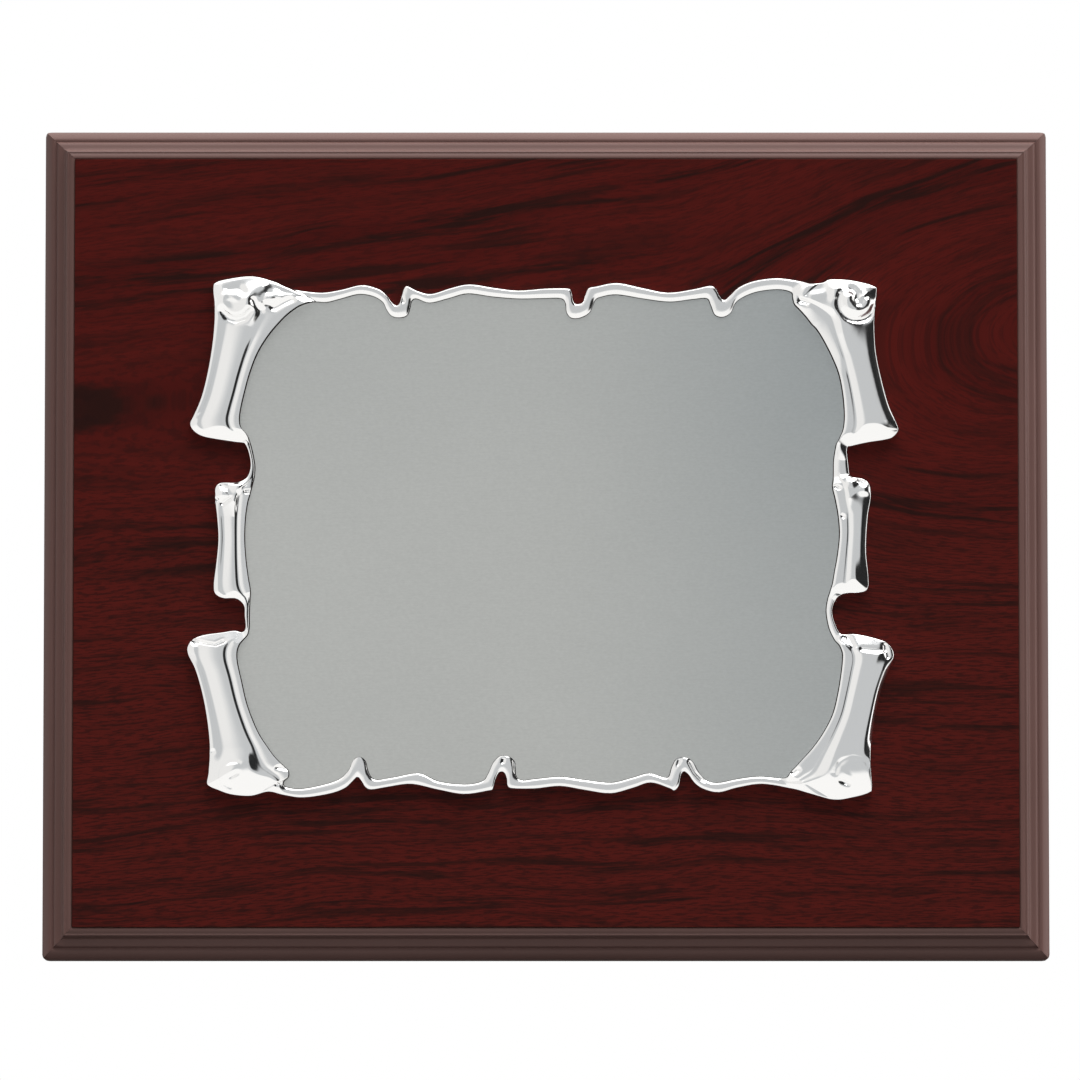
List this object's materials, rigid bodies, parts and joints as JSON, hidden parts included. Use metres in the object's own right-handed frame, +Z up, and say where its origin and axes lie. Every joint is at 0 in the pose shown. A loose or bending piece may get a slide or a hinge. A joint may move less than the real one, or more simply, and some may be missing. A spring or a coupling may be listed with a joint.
{
  "type": "wooden award plaque",
  "caption": "Wall or desk award plaque: red mahogany veneered board in a mitred brown moulding, with a polished silver scroll frame round a blank satin engraving sheet.",
  "frame": {"origin": "centre of the keyhole hanger's round entry hole, on the back plane of the board", "axes": "+X to the right seen from the front, +Y from the face to the wall behind, +Z up"},
  "size_m": [0.29, 0.0295, 0.24],
  "materials": {
    "core_board": "raw fibreboard",
    "mahogany_veneer": "stained red mahogany, satin lacquer",
    "back_board": "dark brown backing sheet, matte",
    "moulding_wood": "taupe brown satin lacquer",
    "polished_silver": "polished, silver plated",
    "satin_silver": "fine satin",
    "foam_tape": "foam tape",
    "brassed_steel": "bright brass plate",
    "screw_steel": "zinc plate",
    "strut_board": "black faced board",
    "bumper_rubber": "matte"
  },
  "bodies": {
    "board": {"core_panel": "core_board", "front_veneer": "mahogany_veneer", "back_sheet": "back_board", "top_moulding": "moulding_wood", "bottom_moulding": "moulding_wood", "left_moulding": "moulding_wood", "right_moulding": "moulding_wood", "scroll_frame": "polished_silver", "engraving_sheet": "satin_silver", "frame_pads": "foam_tape", "sheet_pads": "foam_tape", "keyhole_hanger": "brassed_steel", "hanger_screws": "screw_steel", "hinge_board_leaf": "brassed_steel", "hinge_pin": "screw_steel", "hinge_screws": "screw_steel", "wall_bumpers": "bumper_rubber"},
    "easel": {"strut": "strut_board", "hinge_strut_leaf": "brassed_steel", "strut_rivets": "screw_steel"}
  },
  "joints": [
    {"name": "strut_hinge", "type": "hinge", "parent": "board", "child": "easel", "pos_m": [0, 0.00235, -0.06], "axis": [1, 0, 0], "range_deg": [0, 28]}
  ]
}
